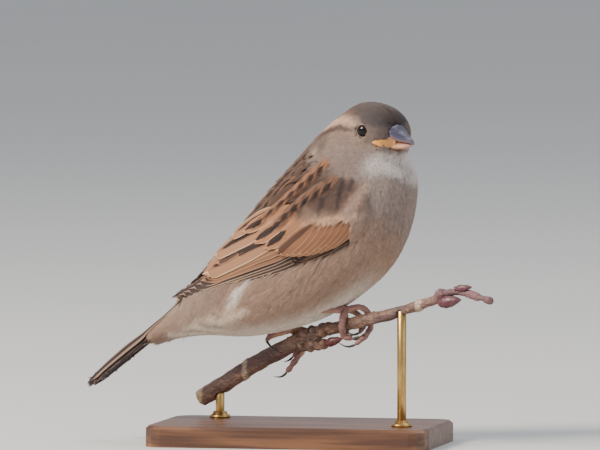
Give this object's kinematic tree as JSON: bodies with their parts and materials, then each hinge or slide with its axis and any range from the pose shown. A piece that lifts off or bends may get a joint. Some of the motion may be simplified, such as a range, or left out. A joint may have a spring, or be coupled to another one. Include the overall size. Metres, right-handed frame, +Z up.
{
  "type": "house sparrow model on a twig perch",
  "caption": "Life-size female house sparrow perched on a cut twig, held by a plain flat stand with short rods.",
  "frame": {"origin": "middle of the stand's flat underside", "axes": "+X the way the bird faces, +Y its left, +Z up"},
  "size_m": [0.1442, 0.054, 0.1141],
  "materials": {
    "plumage": "soft brown feathers",
    "wing_plumage": "brown feathers with buff edges",
    "tail_plumage": "dark brown feathers with buff edges",
    "bill": "satin horn",
    "eye": "wet gloss",
    "leg": "scaled skin",
    "claw": "satin horn",
    "bark": "raw bark",
    "bud": "waxy bud scales",
    "stand_wood": "satin varnish",
    "stand_brass": "satin"
  },
  "bodies": {
    "root": {"bill_lower": "bill", "bill_upper": "bill", "claw_left_hind": "claw", "claw_left_inner": "claw", "claw_left_middle": "claw", "claw_left_outer": "claw", "claw_right_hind": "claw", "claw_right_inner": "claw", "claw_right_middle": "claw", "claw_right_outer": "claw", "eye_left": "eye", "eye_right": "eye", "head": "plumage", "leg_left": "leg", "leg_right": "leg", "neck": "plumage", "perch_bud_lower": "bud", "perch_bud_side": "bud", "perch_bud_upper": "bud", "perch_twig": "bark", "stand_base": "stand_wood", "stand_rod_front": "stand_brass", "stand_rod_rear": "stand_brass", "tail_left": "tail_plumage", "tail_right": "tail_plumage", "thigh_left": "plumage", "thigh_right": "plumage", "trunk": "plumage", "wing_left": "wing_plumage", "wing_right": "wing_plumage"}
  },
  "joints": []
}
